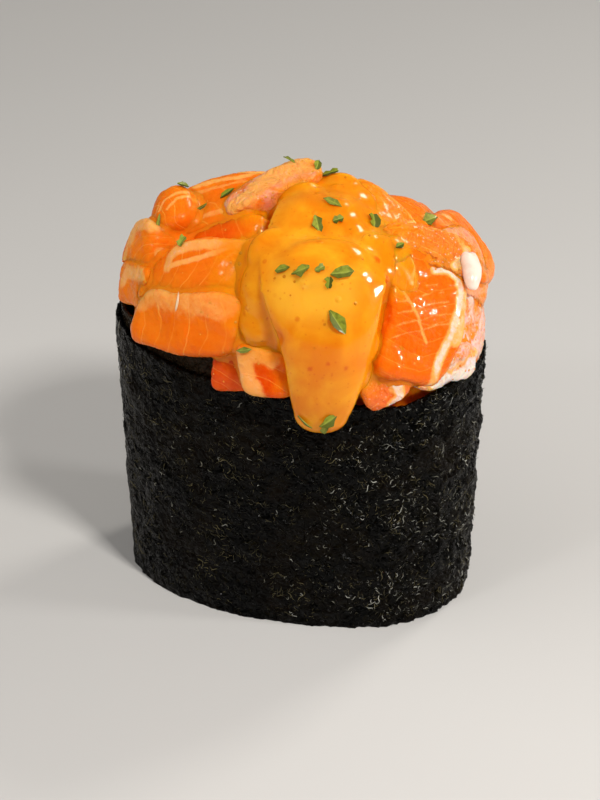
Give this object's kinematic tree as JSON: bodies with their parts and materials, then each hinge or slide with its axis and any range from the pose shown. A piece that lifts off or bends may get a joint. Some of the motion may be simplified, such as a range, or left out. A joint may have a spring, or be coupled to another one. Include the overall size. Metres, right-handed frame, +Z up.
{
  "type": "salmon gunkan sushi",
  "caption": "Oval sushi piece: pressed rice wound in a nori strip, heaped with cut salmon, a thick sauce running down its front.",
  "frame": {"origin": "middle of the flat underside, level with the board it stands on", "axes": "+Z up; X along the oval's long axis; the sauce runs down the -Y side"},
  "size_m": [0.0561, 0.0425, 0.0653],
  "materials": {
    "nori": "dry toasted seaweed sheet with a fine fibrous crinkle and a weak sheen",
    "rice": "moist cooked rice, pressed",
    "salmon": "wet translucent raw salmon with pale fat bands",
    "sauce": "glossy thick yellow-orange sauce with red specks"
  },
  "bodies": {
    "root": {"nori": "nori", "rice": "rice", "salmon_back_crest": "salmon", "salmon_back_left": "salmon", "salmon_back_low_left": "salmon", "salmon_back_low_mid": "salmon", "salmon_back_low_right": "salmon", "salmon_back_mid": "salmon", "salmon_back_right": "salmon", "salmon_back_turn": "salmon", "salmon_bed": "salmon", "salmon_centre_right": "salmon", "salmon_deep_left": "salmon", "salmon_front_block": "salmon", "salmon_front_left_low": "salmon", "salmon_front_left_mid": "salmon", "salmon_front_mid": "salmon", "salmon_front_right_low": "salmon", "salmon_front_right_wedge": "salmon", "salmon_left_back": "salmon", "salmon_left_end": "salmon", "salmon_left_low": "salmon", "salmon_left_tip": "salmon", "salmon_right_back": "salmon", "salmon_right_end": "salmon", "salmon_right_front": "salmon", "salmon_right_low": "salmon", "salmon_right_mid": "salmon", "salmon_right_top": "salmon", "salmon_rim_right": "salmon", "salmon_rim_scrap": "salmon", "salmon_top_crest": "salmon", "salmon_top_left": "salmon", "salmon_under_crest": "salmon", "salmon_under_sauce": "salmon", "sauce": "sauce"}
  },
  "joints": []
}
